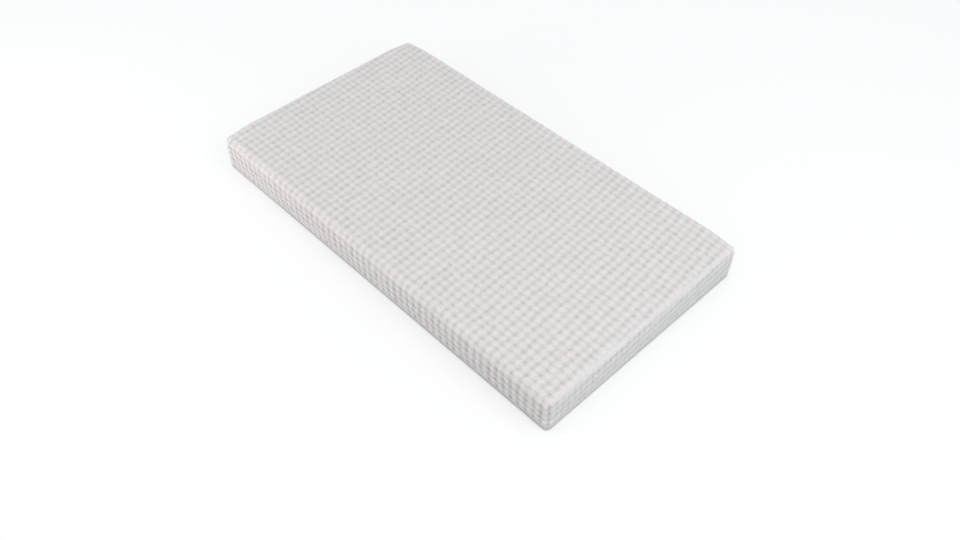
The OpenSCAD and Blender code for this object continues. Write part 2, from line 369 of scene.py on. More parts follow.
thread = Finish("sewing_thread", roughness=0.6)
x, y, z = thread.split(thread.here())
twist = (x + y + z * 1.5).sine(0.0007)
thread.set("Base Color", thread.tint(twist * 0.5 + 0.5, (0.84, 0.83, 0.81), (0.72, 0.71, 0.70)))
thread.bump(twist, 0.0001)
stitch_z = border_high.z - border_groove
seam_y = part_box("zip_slider")[0].y
border_stitches = stitch_row(
    "border_stitches",
    run_round(border_inset + stitch_sunk, stitch_z, seam_y, seam_y - stitch_gap),
)
fit(border_stitches, thread, "base_cover", "zip_tape")

# Lower half of the zip
# A woven tape that is sewn inside the border's hem, with a nylon coil along its upper edge. A
# moulded stop closes the coil at both of its ends.
tape_t = 0.001
coil_pitch = 0.0026
coil_wire = 0.0006
coil_depth = 0.002
coil_lean = 0.35
coil_end_gap = 0.022
zip_parting = 0.030
stop_l = 0.004
stop_cuts = 4
stop_edge_r = 0.0002
rib_depth = 0.00025


def zip_tape(name, node):
    """Woven tape, with a corded edge on both sides."""
    low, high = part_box(node)
    front = half_w - high.x
    back = front + tape_t
    slim = 0.0002
    bead = 0.0012
    return hoop(
        name,
        [
            (front, low.z + slim),
            (front, low.z + bead),
            (front + slim, low.z + bead + slim),
            (front + slim, high.z - bead - slim),
            (front, high.z - bead),
            (front, high.z - slim),
            (front + slim, high.z),
            (back - slim, high.z),
            (back, high.z - slim),
            (back, low.z + slim),
            (back - slim, low.z),
            (front + slim, low.z),
        ],
    )


def zip_coil(name, node, from_y, to_y):
    """Nylon monofilament, wound in flat turns that lean a little along the tape."""
    low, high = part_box(node)
    clear_selection()
    bpy.ops.mesh.primitive_torus_add(
        major_segments=8, minor_segments=3, major_radius=1, minor_radius=0.5
    )
    coil = bpy.context.object
    coil.name = name
    coil.rotation_euler = (0, math.pi / 2, 0)
    bpy.ops.object.transform_apply(rotation=True)
    turn = get_points(coil)
    turn[:, 0] *= coil_wire
    turn[:, 1] *= coil_depth / np.ptp(turn[:, 1])
    turn[:, 2] *= (high.z - low.z) / np.ptp(turn[:, 2])
    turn[:, 0] += coil_pitch / 2 + coil_lean * turn[:, 1]
    set_points(coil, turn)
    bpy.ops.object.shade_smooth()
    middle = half_w - high.x + coil_depth / 2
    string_along(coil, run_round(middle, (low.z + high.z) / 2, from_y, to_y), coil_pitch)
    return coil


def plain_block(name, low, high):
    """Block between two opposite corners."""
    clear_selection()
    bpy.ops.mesh.primitive_cube_add(size=1)
    block = bpy.context.object
    block.name = name
    block.scale = high - low
    block.location = (high + low) / 2
    bpy.ops.object.transform_apply(location=True, scale=True)
    return block


def join(pieces):
    """Joins pieces into the first of them."""
    clear_selection()
    for piece in pieces:
        piece.select_set(True)
    bpy.context.view_layer.objects.active = pieces[0]
    if len(pieces) > 1:
        bpy.ops.object.join()
    return pieces[0]


def zip_stops(name, node, starts):
    """Moulded blocks with a rib across each, that close the ends of a coil."""
    low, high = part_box(node)
    pieces = []
    for start in starts:
        end = start + stop_l
        block = plain_block(name, Vector((low.x, start, low.z)), Vector((high.x, end, high.z)))
        bpy.ops.object.mode_set(mode="EDIT")
        bpy.ops.mesh.subdivide(number_cuts=stop_cuts)
        bpy.ops.object.mode_set(mode="OBJECT")
        points = get_points(block)
        groove = abs(abs(points[:, 1] - start - stop_l / 2) - 0.2 * stop_l) < 0.15 * stop_l
        outer = points[:, 0] > high.x - 1e-6
        points[groove & outer, 0] -= rib_depth
        set_points(block, points)
        rounding = block.modifiers.new("rounding", "BEVEL")
        rounding.width = stop_edge_r
        rounding.segments = 2
        bpy.ops.object.modifier_apply(modifier="rounding")
        pieces.append(block)
    stops = join(pieces)
    clean_mesh(stops, 50)
    return stops


tape_finish = Finish("zip_tape_weave", roughness=0.8, sheen_weight=0.1)
place = tape_finish.here()
x, y, z = tape_finish.split(place)
rib = (x + y).sine(0.0016)
twill = (x + y + z.sine(0.004) * 0.0006).sine(0.0012)
fluff = tape_finish.noise(place, 0.004)
tape_finish.set(
    "Base Color",
    tape_finish.tint(twill * 0.2 + fluff * 0.8, (0.86, 0.85, 0.83), (0.74, 0.73, 0.72)),
)
tape_finish.bump(twill + rib * 0.4 + fluff, 0.00008)

coil_finish = Finish("coil_nylon", roughness=0.35, coat_weight=0.2)
place = coil_finish.here()
cloud = coil_finish.noise(place, 0.01)
coil_finish.set("Base Color", coil_finish.tint(cloud, (0.80, 0.80, 0.79), (0.70, 0.70, 0.70)))
coil_finish.set("Roughness", cloud * 0.2 + 0.25)
coil_finish.bump(coil_finish.noise(place, 0.0004), 0.00005)

park_y = (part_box("zip_slider")[0].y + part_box("zip_slider")[1].y) / 2
tail_y = park_y - coil_end_gap
zip_start_y = tail_y - zip_parting
upper_end_y = park_y + coil_end_gap

tape_lower = zip_tape("lower_zip_tape", "zip_tape_lower")
fit(tape_lower, tape_finish, "base_cover", "zip_tape", "zip_tape_lower")
coil_lower = zip_coil("lower_zip_coil", "zip_coil_lower", tail_y, zip_start_y)
fit(coil_lower, coil_finish, "base_cover", "zip_coil", "zip_coil_lower")
stops_lower = zip_stops("lower_zip_stops", "zip_stops_lower", [tail_y - stop_l, zip_start_y])
fit(stops_lower, coil_finish, "base_cover", "zip_coil", "zip_stops_lower")

# Support core
# The thick lower block of pale blue polyurethane foam. Air channels are sawn across its underside,
# and the firm rails stand round it.
channel_w = 0.014
channel_depth = 0.024
channel_pitch = 0.115
channel_count = 16
foam_edge_r = 0.0025


def saw(block, normal, places):
    """Cuts a block's faces along planes at these places."""
    choose(block)
    bpy.ops.object.mode_set(mode="EDIT")
    for place in places:
        bpy.ops.mesh.select_all(action="SELECT")
        bpy.ops.mesh.bisect(plane_co=place * Vector(normal), plane_no=normal)
    bpy.ops.object.mode_set(mode="OBJECT")


def pick(piece, kind, chosen):
    """Selects the faces or edges that pass a test, and stays in edit mode."""
    choose(piece)
    bpy.ops.object.mode_set(mode="EDIT")
    bpy.ops.mesh.select_mode(type=kind)
    bpy.ops.mesh.select_all(action="DESELECT")
    bpy.ops.object.mode_set(mode="OBJECT")
    for part in piece.data.polygons if kind == "FACE" else piece.data.edges:
        part.select = chosen(part)
    bpy.ops.object.mode_set(mode="EDIT")


def grow(block, chosen, move):
    """Extrudes the chosen faces, which are picked by centre and normal."""
    pick(block, "FACE", lambda face: chosen(face.center, face.normal))
    bpy.ops.mesh.extrude_region_move(TRANSFORM_OT_translate={"value": move})
    bpy.ops.object.mode_set(mode="OBJECT")


def soften(piece, width, segments=2, smooth_angle=50):
    """Rounds the sharp edges."""
    choose(piece)
    rounding = piece.modifiers.new("rounding", "BEVEL")
    rounding.width = width
    rounding.segments = segments
    rounding.limit_method = "ANGLE"
    rounding.angle_limit = math.radians(40)
    bpy.ops.object.modifier_apply(modifier="rounding")
    clean_mesh(piece, smooth_angle)


def foam_finish(name, light, dark, cell):
    """Open-cell foam: fine pores of a given size, painted darker as painted shade in them, and
    clouds from the pour.
    """
    finish = Finish(name, roughness=0.95, subsurface_weight=0.05)
    place = finish.here()
    pores = finish.add("ShaderNodeTexVoronoi", {}, {"Vector": place, "Scale": 1 / cell})
    pit = 1 - pores.ramp(0.1, 0.55)
    cloud = finish.noise(place, 0.06)
    # The pores are painted darker, as painted shade in them
    finish.set("Base Color", finish.tint(pit * 0.45 + (cloud - 0.3) * 0.6, light, dark))
    finish.bump(finish.noise(place, cell / 2) - pit, cell / 8)
    return finish


core_low, core_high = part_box("support_core")
support_core = plain_block(
    "channelled_core", core_low + Vector((0, 0, channel_depth)), core_high
)
channel_places = [(k - (channel_count - 1) / 2) * channel_pitch for k in range(channel_count)]
saw(
    support_core,
    (0, 1, 0),
    [place + side * channel_w / 2 for place in channel_places for side in (-1, 1)],
)
grow(
    support_core,
    lambda centre, normal: normal.z < -0.9
    and all(abs(centre.y - place) > channel_w / 2 for place in channel_places),
    (0, 0, -channel_depth),
)
soften(support_core, foam_edge_r)
core_foam = foam_finish("blue_core_foam", (0.60, 0.71, 0.81), (0.48, 0.59, 0.70), 0.0022)
fit(support_core, core_foam, "foam_core", "core_foam", "support_core")

# Firm rails
# Four bars of denser grey foam, glued round the core to keep the sides of the mattress upright.
# The side rails run the whole length and carry the rounded corners.
rail_corner_r = 0.0278
rail_corner_steps = 6
rail_edge_r = 0.003


def is_outer_upright(rail, edge):
    """Whether an edge is one of the two upright ones on a side rail's outer face."""
    outer = max(abs(corner.co.x) for corner in rail.data.vertices)
    first, second = (rail.data.vertices[k].co for k in edge.vertices)
    return abs(first.z - second.z) > 1e-6 and abs(abs(first.x) - outer) < 1e-6


rail_foam = foam_finish("grey_rail_foam", (0.55, 0.59, 0.62), (0.44, 0.48, 0.51), 0.0016)
for name, node in (
    ("left_side_rail", "side_rail_left"),
    ("right_side_rail", "side_rail_right"),
    ("head_end_rail", "end_rail_head"),
    ("foot_end_rail", "end_rail_foot"),
):
    rail = plain_block(name, *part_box(node))
    if node.startswith("side"):
        pick(rail, "EDGE", lambda edge: is_outer_upright(rail, edge))
        bpy.ops.mesh.bevel(offset=rail_corner_r, segments=rail_corner_steps)
        bpy.ops.object.mode_set(mode="OBJECT")
    soften(rail, rail_edge_r)
    fit(rail, rail_foam, "foam_core", "rail_foam", node)

# Transition layer
# A softer white foam on top of the core. Crossing cuts part its upper half into square cells that
# give way on their own.
cut_w = 0.006
cut_depth = 0.020
cells_across = 8
cells_along = 16
layer_low, layer_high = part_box("transition_layer")
transition_layer = plain_block(
    "cell_cut_layer", layer_low, layer_high - Vector((0, 0, cut_depth))
)
cuts_x = [layer_low.x + 2 * layer_high.x * k / cells_across for k in range(1, cells_across)]
cuts_y = [layer_low.y + 2 * layer_high.y * k / cells_along for k in range(1, cells_along)]
for axis, cuts in (((1, 0, 0), cuts_x), ((0, 1, 0), cuts_y)):
    saw(transition_layer, axis, [cut + side * cut_w / 2 for cut in cuts for side in (-1, 1)])
grow(
    transition_layer,
    lambda centre, normal: normal.z > 0.9
    and all(abs(centre.x - cut) > cut_w / 2 for cut in cuts_x)
    and all(abs(centre.y - cut) > cut_w / 2 for cut in cuts_y),
    (0, 0, cut_depth),
)
soften(transition_layer, foam_edge_r)
transition_foam = foam_finish(
    "white_transition_foam", (0.90, 0.89, 0.85), (0.76, 0.75, 0.71), 0.0020
)
fit(transition_layer, transition_foam, "foam_core", "transition_foam", "transition_layer")

# Visco layer
# The pale yellow memory foam that is lain on. Its top is a little crowned, its upper edges are
# trimmed round, and its corners hang down slightly under their own softness.
crown_h = 0.004
crown_share = 0.92
corner_droop = 0.013
droop_span = 0.090
visco_low, visco_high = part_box("visco_layer")
visco_cells = (48, 88)
visco_edge_rows = 4
visco_wall_rows = 3
visco_droop_h = 0.028


class Mat:
    """Crowned mat with soft top edges and round corners, over which a flat sheet is laid."""

    def __init__(self, high, edge_r, corner_r, corner_zone):
        self.half_w = high.x
        self.half_l = high.y
        self.edge_r = edge_r
        self.corner_r = corner_r
        self.corner_zone = corner_zone
        self.rim_z = high.z - crown_h
        self.flat_w = high.x - edge_r
        self.flat_l = high.y - edge_r
        self.crown_span = crown_share * self.flat_w

    def start_sheet(self, name, cells_w, cells_l, rows):
        """Flat grid with rows of faces hanging from its rim. A point's depth is its row."""
        clear_selection()
        bpy.ops.mesh.primitive_grid_add(x_subdivisions=cells_w, y_subdivisions=cells_l, size=2)
        piece = bpy.context.object
        piece.name = name
        piece.scale = (self.flat_w, self.flat_l, 1)
        bpy.ops.object.transform_apply(scale=True)
        bpy.ops.object.mode_set(mode="EDIT")
        bpy.ops.mesh.select_mode(type="EDGE")
        bpy.ops.mesh.select_all(action="DESELECT")
        bpy.ops.mesh.select_non_manifold()
        for _ in range(rows):
            bpy.ops.mesh.extrude_edges_move(TRANSFORM_OT_translate={"value": (0, 0, -1)})
        bpy.ops.mesh.edge_face_add()
        bpy.ops.object.mode_set(mode="OBJECT")
        return piece

    def on_side(self, x, y):
        """Whether points lie nearer to a long side than to an end."""
        return self.flat_w - abs(x) <= self.flat_l - abs(y)

    def margin(self, x, y):
        return np.minimum(self.flat_w - abs(x), self.flat_l - abs(y)).clip(0)

    def crown(self, x, y):
        rise = crown_h
        for gap in (self.flat_w - abs(x), self.flat_l - abs(y)):
            rise = rise * (1 - (1 - np.minimum(gap, self.crown_span) / self.crown_span) ** 2)
        return rise

    def hang(self, x, y, row, edge_rows, wall_rows, foot_z):
        """Inset and height of points that hang over the edge and down the wall to its foot.

        Also gives each point's angle on the round edge, and its share of the way down the wall.
        """
        bend = np.clip(row / edge_rows, 0, 1) * math.pi / 2
        share = np.clip((row - edge_rows) / wall_rows, 0, 1)
        inset = self.margin(x, y) + self.edge_r * (1 - np.sin(bend))
        height = self.rim_z + self.crown(x, y) - self.edge_r * (1 - np.cos(bend))
        height = height - share * (self.rim_z - self.edge_r - foot_z)
        return inset, height, bend, share

    def lay(self, x, y, inset, radius):
        """Moves points of the sheet onto rings at an inset from the sides, with round corners.

        Also gives each point's distance along its side, and from the nearest corner line.
        """
        on_side = self.on_side(x, y)
        along = np.where(on_side, abs(y), abs(x))
        corner = np.where(on_side, self.flat_l, self.flat_w) - self.margin(x, y)
        straight = np.where(on_side, self.half_l, self.half_w) - inset - radius
        reach = straight + radius * math.pi / 4
        start = corner - self.corner_zone
        stretch = (reach - start) / self.corner_zone
        place = np.where(along > start, start + (along - start) * stretch, along)
        turn = np.clip((place - straight) / np.maximum(radius, 1e-6), 0, math.pi / 4)
        across = np.where(on_side, self.half_w, self.half_l) - inset - radius * (1 - np.cos(turn))
        along = np.minimum(place, straight) + radius * np.sin(turn)
        new_x = np.sign(x) * np.where(on_side, across, along)
        new_y = np.sign(y) * np.where(on_side, along, across)
        return new_x, new_y, place, reach - place


def hill(distance):
    """1 at no distance, and nothing any more at about 2."""
    return np.exp(-(distance**2))


def droop_at(x, y):
    """How far the soft corners hang down, at places in plan."""
    return corner_droop * hill(np.hypot(half_w - abs(x), half_l - abs(y)) / droop_span)


visco_mat = Mat(visco_high, edge_r=0.018, corner_r=rail_corner_r, corner_zone=0.06)
visco_layer = visco_mat.start_sheet(
    "crowned_visco_layer", *visco_cells, visco_edge_rows + visco_wall_rows
)
sheet = get_points(visco_layer)
x, y, row = sheet[:, 0], sheet[:, 1], -sheet[:, 2]
inset, height, _, _ = visco_mat.hang(
    x, y, row, visco_edge_rows, visco_wall_rows, visco_low.z
)
x, y, _, _ = visco_mat.lay(x, y, inset, np.maximum(visco_mat.corner_r - inset, 0))
height -= droop_at(x, y) * np.clip((height - visco_low.z) / visco_droop_h, 0, 1)
set_points(visco_layer, np.stack([x, y, height], axis=1))
clean_mesh(visco_layer, 60)
visco_foam = foam_finish("cream_visco_foam", (0.90, 0.83, 0.66), (0.78, 0.70, 0.53), 0.0014)
fit(visco_layer, visco_foam, "foam_core", "visco_foam", "visco_layer")

# Padded knit cover
# One sheet of double jersey with fleece between its faces, knitted together at tie points, so that
# it stands up in bubbles. It is drawn over the foam and sewn upright at its four corners.
cover_low, cover_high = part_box("cover_top")
hem_z = cover_low.z
draw_in = 0.003
bubbles_across = 33
bubbles_along = 52
# Coarse sheet that is simulated: cells in a bubble, rows on the round edge and rows on the wall
coarse_cells = 2
edge_rows = 3
wall_rows = 8
knit_rows = edge_rows + wall_rows
refine_cuts = 2
rank_of_row = 1e6
rank_across = 1e3
swell_steps = 20
swell_limit = 0.0035
tiny = 1e-4
# Inset from the widest line, and height, of the rings of the lining
lining_inset = 0.0095
lining_low = 0.0270
lining_rings = [
    (hem_inset, hem_z),
    (hem_inset, 0.0268),
    (lining_inset, lining_low),
    (lining_inset, 0.1520),
    (0.0145, 0.1620),
    (0.0200, 0.1665),
    (0.0300, 0.1684),
    (0.0600, 0.1690),
]
least_ring_r = 0.004

cover_mat = Mat(cover_high, edge_r=0.026, corner_r=corner_r, corner_zone=0.07)
bubble_w = 2 * cover_mat.flat_w / bubbles_across
bubble_l = 2 * cover_mat.flat_l / bubbles_along
wall_h = cover_mat.rim_z - cover_mat.edge_r - hem_z


def drape(x, y, row):
    """Lays points of the flat sheet over the mattress.

    Also gives their distances along the side, down from the rim, and from the corner seam.
    """
    inset, height, bend, share = cover_mat.hang(x, y, row, edge_rows, wall_rows, hem_z)
    inset = inset + draw_in * (1 - np.cos(share * math.pi / 2))
    ring = row - knit_rows
    insets, heights = zip((draw_in, hem_z), *lining_rings)
    steps = np.arange(len(insets))
    inset = np.where(ring > 0, np.interp(ring, steps, insets), inset)
    height = np.where(ring > 0, np.interp(ring, steps, heights), height)
    radius = np.maximum(corner_r - inset, np.where(ring > 0, least_ring_r, 0))
    new_x, new_y, place, to_seam = cover_mat.lay(x, y, inset, radius)
    height = height - droop_at(new_x, new_y) * np.clip((height - hem_z) / wall_h, 0, 1)
    down = cover_mat.edge_r * bend + wall_h * share
    return np.stack([new_x, new_y, height], axis=1), place, down, to_seam


def rank(place):
    """Number that puts places on the flat sheet in order, by row, then across, then along."""
    return place.z * rank_of_row + place.x * rank_across + place.y


def put_in_order(piece):
    """Numbers a flat sheet's points, edges and faces by place, so that it swells alike each run."""
    mesh = bmesh.new()
    mesh.from_mesh(piece.data)
    mesh.verts.sort(key=lambda point: rank(point.co))
    mesh.edges.sort(key=lambda edge: rank((edge.verts[0].co + edge.verts[1].co) / 2))
    mesh.faces.sort(key=lambda face: rank(face.calc_center_median()))
    mesh.to_mesh(piece.data)
    mesh.free()


cover = cover_mat.start_sheet(
    "knit_cover",
    coarse_cells * bubbles_across,
    coarse_cells * bubbles_along,
    knit_rows + len(lining_rings),
)
put_in_order(cover)

# The sheet swells under pressure, held at its hem and corner seams and less firmly on top
sheet = get_points(cover)
row = -sheet[:, 2]
laid, _, _, _ = drape(sheet[:, 0], sheet[:, 1], row)
swell = np.zeros_like(sheet)
pattern = cover.data.copy()
set_points(cover, laid)
at_side = abs(sheet[:, 0]) > cover_mat.flat_w - tiny
at_end = abs(sheet[:, 1]) > cover_mat.flat_l - tiny
fixed = (at_side & at_end) | (row > knit_rows - 0.5)
top = (row < 0.5) & ~fixed
holds = cover.vertex_groups.new(name="holds")
holds.add(np.nonzero(top)[0].tolist(), 0.5, "REPLACE")
holds.add(np.nonzero(fixed)[0].tolist(), 1.0, "REPLACE")
cloth = cover.modifiers.new("swell", "CLOTH")
cloth.settings.quality = 4
cloth.settings.mass = 0.01
cloth.settings.tension_stiffness = 8
cloth.settings.compression_stiffness = 8
cloth.settings.shear_stiffness = 3
cloth.settings.bending_stiffness = 0.2
cloth.settings.vertex_group_mass = "holds"
cloth.settings.use_pressure = True
cloth.settings.uniform_pressure_force = 0.9
cloth.settings.effector_weights.gravity = 0
cloth.collision_settings.use_collision = False
choose(cover)
for step in range(1, swell_steps + 1):
    bpy.context.scene.frame_set(step)
bpy.ops.object.modifier_apply(modifier="swell")
bpy.context.scene.frame_set(1)
move = get_points(cover) - laid
swell = move * swell_limit / np.linalg.norm(move, axis=1).max()
cover.data = pattern
cover.vertex_groups.clear()
swelling = cover.data.attributes.new("swell", "FLOAT_VECTOR", "POINT")
swelling.data.foreach_set("vector", swell.ravel())

# Finer cells for the knit, finer ones still by the corner seams, and narrower rows for the hem.
# The patches by the seams have their reach from the corner across the end, and along the side.
seam_patch = (0.030, 0.030)
gather_patch = (0.100, 0.055)
gather_row = 6.5
seam_cuts = 2


def refine(piece, chosen, cuts):
    """Cuts the chosen faces of the flat sheet, which are picked by centre, into finer ones."""
    pick(piece, "FACE", lambda face: chosen(face.center))
    bpy.ops.mesh.subdivide(number_cuts=cuts, ngon=False)
    bpy.ops.object.mode_set(mode="OBJECT")


def at_corner_seam(centre):
    """Whether a face of the sheet lies by a corner seam, further out where the knit is gathered."""
    if not 1 - knit_rows < centre.z < -1:
        return False
    across, along = gather_patch if centre.z < -gather_row else seam_patch
    to_side = cover_mat.flat_w - abs(centre.x)
    to_end = cover_mat.flat_l - abs(centre.y)
    return to_side < across and to_end < along


def in_hem_row(edge):
    """Whether an edge of the sheet runs down the last row of the knit."""
    foot, head = sorted(cover.data.vertices[k].co.z for k in edge.vertices)
    return -knit_rows - 0.01 < foot < head - 0.01 < 1 - knit_rows


refine(cover, lambda centre: centre.z > -knit_rows, refine_cuts)
refine(cover, at_corner_seam, seam_cuts)
pick(cover, "EDGE", in_hem_row)
bpy.ops.mesh.subdivide(number_cuts=1)
bpy.ops.object.mode_set(mode="OBJECT")

sheet = get_points(cover)
x, y, row = sheet[:, 0], sheet[:, 1], -sheet[:, 2]
points, place, down, to_seam = drape(x, y, row)
swell = np.empty(sheet.size)
swelling = cover.data.attributes["swell"]
swelling.data.foreach_get("vector", swell)
cover.data.attributes.remove(swelling)
points += swell.reshape(-1, 3) * np.clip((knit_rows - 1 - row) / 2, 0, 1)[:, None]

# Fabric coordinates, in bubbles: they run over the edges and down, and meet at the corner seams
wall_stretch = 0.9
row_slant = 0.078
row_bow = 0.045
table_size = 128
knit_seed = 7
jog_spread = 0.07
uneven_spread = 0.12
on_top = row < tiny
on_side = cover_mat.on_side(x, y)
on_seam = (to_seam < tiny / 10) & ~on_top
slant = (row_slant * x + row_bow * x**2) / bubble_l
side_out = np.sign(x) * (cover_mat.flat_w + wall_stretch * down) / bubble_w
end_out = np.sign(y) * (cover_mat.flat_l + wall_stretch * down) / bubble_l
rng = np.random.default_rng(knit_seed)
jog = rng.normal(0, jog_spread, size=(table_size, table_size, 2))
uneven = rng.normal(1, uneven_spread, size=(table_size, table_size))


def in_fabric(across, along):
    """Fabric coordinates of places on the knit, with the rows slanting and a little uneven."""
    flat = np.stack([across, along - slant], axis=1)
    first = np.floor(flat).astype(int)
    share_u, share_v = (flat - first).T[:, :, None]
    jogged = flat.copy()
    for step_u, weight_u in ((0, 1 - share_u), (1, share_u)):
        for step_v, weight_v in ((0, 1 - share_v), (1, share_v)):
            u, v = (first + (step_u, step_v)).T % table_size
            jogged += weight_u * weight_v * jog[u, v]
    return jogged


top_uv = in_fabric(x / bubble_w, y / bubble_l)
longer = half_l - half_w
side_place = np.where(on_side, place, place + longer)
end_place = np.where(on_side, place - longer, place)
side_uv = in_fabric(side_out, np.sign(y) * side_place / bubble_l)
end_uv = in_fabric(np.sign(x) * end_place / bubble_w, end_out)
vertex_of = np.empty(len(cover.data.loops), int)
cover.data.loops.foreach_get("vertex_index", vertex_of)
sizes = np.empty(len(cover.data.polygons), int)
cover.data.polygons.foreach_get("loop_total", sizes)
face_of = np.repeat(np.arange(len(sizes)), sizes)
face_row = np.zeros(len(sizes))
face_lean = np.zeros(len(sizes))
np.maximum.at(face_row, face_of, row[vertex_of])
np.add.at(face_lean, face_of, np.where(on_seam, 0, np.where(on_side, 1, -1))[vertex_of])
loop_uv = np.where((face_lean > 0)[face_of, None], side_uv[vertex_of], end_uv[vertex_of])
loop_uv = np.where((face_row < tiny)[face_of, None], top_uv[vertex_of], loop_uv)
cover.data.uv_layers.new(name="fabric").data.foreach_set("uv", loop_uv.ravel())

# Bubbles stand between the ties, a little uneven, and lower on the stretched round edge
bubble_h = 0.0026
ground_depth = 0.0014
tie_depth = 0.0020
tie_start = 0.15
dome_power = 0.6
tie_power = 1.5
side_edge_loss = 0.3
end_edge_loss = 0.6
side_wall_gain = 0.3
end_wall_gain = -0.2
plain_hem_rows = 0.7
hem_fade_rows = 0.8
fabric_uv = np.where(on_side[:, None], side_uv, end_uv)
fabric_uv = np.where(on_top[:, None], top_uv, fabric_uv)
cell_u, cell_v = np.floor(fabric_uv).astype(int).T % table_size
tie_u, tie_v = np.rint(fabric_uv).astype(int).T % table_size
to_tie = np.cos(2 * math.pi * fabric_uv).mean(axis=1)
dome = np.clip((tie_start - to_tie) / (1 + tie_start), 0, 1) ** dome_power
dome *= uneven[cell_u, cell_v]
tie = np.clip((to_tie - tie_start) / (1 - tie_start), 0, 1) ** tie_power
tie *= uneven[tie_u, tie_v]
on_edge = np.sin(np.clip(row / edge_rows, 0, 1) * math.pi) ** 2
on_wall = np.clip((row - edge_rows) / 2, 0, 1)
stretched = 1 - np.where(on_side, side_edge_loss, end_edge_loss) * on_edge
tightness_and_wall_shade = 1 + np.where(on_side, side_wall_gain, end_wall_gain) * on_wall
to_hem = np.clip((knit_rows - plain_hem_rows - row) / hem_fade_rows, 0, 1)
relief = (bubble_h * dome - ground_depth - tie_depth * tie) * tightness_and_wall_shade * stretched * to_hem

# Groove of the corner seams, deepest at their top, and the gathers at their foot
seam_depth = 0.0040
seam_r = 0.0045
seam_top_row = 0.3
seam_rise_rows = 2
pucker_gain = 0.9
pucker_row = 2.8
pucker_span = math.sqrt(2)
gather_h = 0.0022
gather_pitch = 0.0120
gather_bow = 5
gather_side_reach = 0.035
gather_end_reach = 0.065
gather_z = 0.048
gather_span = 0.022
gather_fade = 0.004
walled = np.clip((row - seam_top_row) / seam_rise_rows, 0, 1) ** 2 * to_hem
pucker = 1 + pucker_gain * hill((row - pucker_row) / pucker_span)
relief -= seam_depth * pucker * walled * hill(to_seam / (seam_r * pucker))
height = points[:, 2]
gather = np.sin(2 * math.pi * (height - gather_bow * to_seam**2) / gather_pitch)
gather *= hill(to_seam / np.where(on_side, gather_side_reach, gather_end_reach))
gather *= hill((height - gather_z) / gather_span)
relief += gather_h * gather * walled * np.clip(to_seam / gather_fade, 0, 1)

# Rolled hem below the line of stitches, in rows above its foot
hem_roll_h = 0.0010
hem_roll_row = 0.33
hem_stitch_depth = 0.0006
hem_stitch_row = 0.67
hem_roll_span = 0.16
to_foot = knit_rows - row
relief += hem_roll_h * hill((to_foot - hem_roll_row) / hem_roll_span)
relief -= hem_stitch_depth * hill((to_foot - hem_stitch_row) / hem_roll_span)
relief = np.where(to_foot < 0.01, 0, relief)
set_points(cover, points)
normals = np.empty(sheet.size)
cover.data.vertex_normals.foreach_get("vector", normals)
points += relief[:, None] * normals.reshape(-1, 3)
set_points(cover, points)

# Knit, partly drawn in and partly painted shade in the hollows between its bubbles. The ranges are
# heights, and the last is a place along.
hem_range = (0.022, 0.030)
wall_range = (0.120, 0.156)
edge_foot_range = (0.146, 0.158)
edge_top_range = (0.168, 0.1755)
end_range = (0.972, 0.992)
wales = 12
courses = 16
# Darkening of the ground and of the ties: partly denser knit, partly painted shade
ground_dark = 0.155
pit_dark = 0.20
fleck_dark = 0.28
fuzz_dark = 0.3
heather_dark = 0.2
# Extra painted shade in the hollows of the side walls
side_wall_shade_gain = 0.9
# Share of painted shade left off the ends' round edge: partly its stretched, flatter knit, partly a
# painted highlight
end_edge_stretch_and_highlight = 0.95
knit_finish = Finish("bubble_knit", roughness=0.92, sheen_weight=0.12, sheen_roughness=0.5)
uv = knit_finish.add("ShaderNodeUVMap", {"uv_map": "fabric"})
u, v, _ = knit_finish.split(uv)
place = knit_finish.here()
_, y, z = knit_finish.split(place)
wave_u = u.math("COSINE", u * (2 * math.pi))
wave_v = v.math("COSINE", v * (2 * math.pi))
to_tie = wave_u * 0.43 + wave_v * 0.57
ground = to_tie.ramp(-0.36, -0.02)
pit = to_tie.ramp(0.35, 1.0) ** tie_power
# Loops in wales and courses, each a V of its own shade
wale = u * wales
lean = wale.math("FRACT", wale) - 0.5
course = v * courses + lean.math("ABSOLUTE", lean)
loop = knit_finish.add(
    "ShaderNodeCombineXYZ",
    {},
    {0: wale.math("FLOOR", wale), 1: course.math("FLOOR", course)},
)
fleck = knit_finish.add("ShaderNodeTexWhiteNoise", {"noise_dimensions": "2D"}, {"Vector": loop})
fuzz = knit_finish.noise(uv, 0.12, 4.0)
heather = knit_finish.noise(place, 0.05)
above_hem = z.ramp(*hem_range)
on_wall = 1 - z.ramp(*wall_range)
on_edge = z.ramp(*edge_foot_range) * (1 - z.ramp(*edge_top_range))
on_end = y.math("ABSOLUTE", y).ramp(*end_range)
patchy = knit_finish.noise(place, 0.030, 1.0) * 1.5 + 0.25
# Side walls get more painted shade, standing in for their shadowed pits
tightness_and_wall_shade = on_wall * (1 - on_end) * side_wall_shade_gain + 1
# Painted shade in the ground and pits, partly denser knit, varying in patches
drawn_in_and_shade = (ground * ground_dark + pit * pit_dark) * tightness_and_wall_shade * patchy
# The ends' round edge keeps almost no painted shade, which is in part a painted highlight
drawn_in_and_shade = drawn_in_and_shade * (1 - on_edge * (on_end * end_edge_stretch_and_highlight - 0.05)) * above_hem
shade = drawn_in_and_shade + fleck * fleck_dark
shade = shade + (fuzz - 0.5) * fuzz_dark + (heather - 0.5) * heather_dark
knit_finish.set(
    "Base Color", knit_finish.tint(shade, (0.955, 0.888, 0.875), (0.40, 0.395, 0.395))
)
knit_finish.bump(wale.sine(1) * 0.5 + course.sine(1) * 0.3 + fuzz * 1.2, 0.00012)

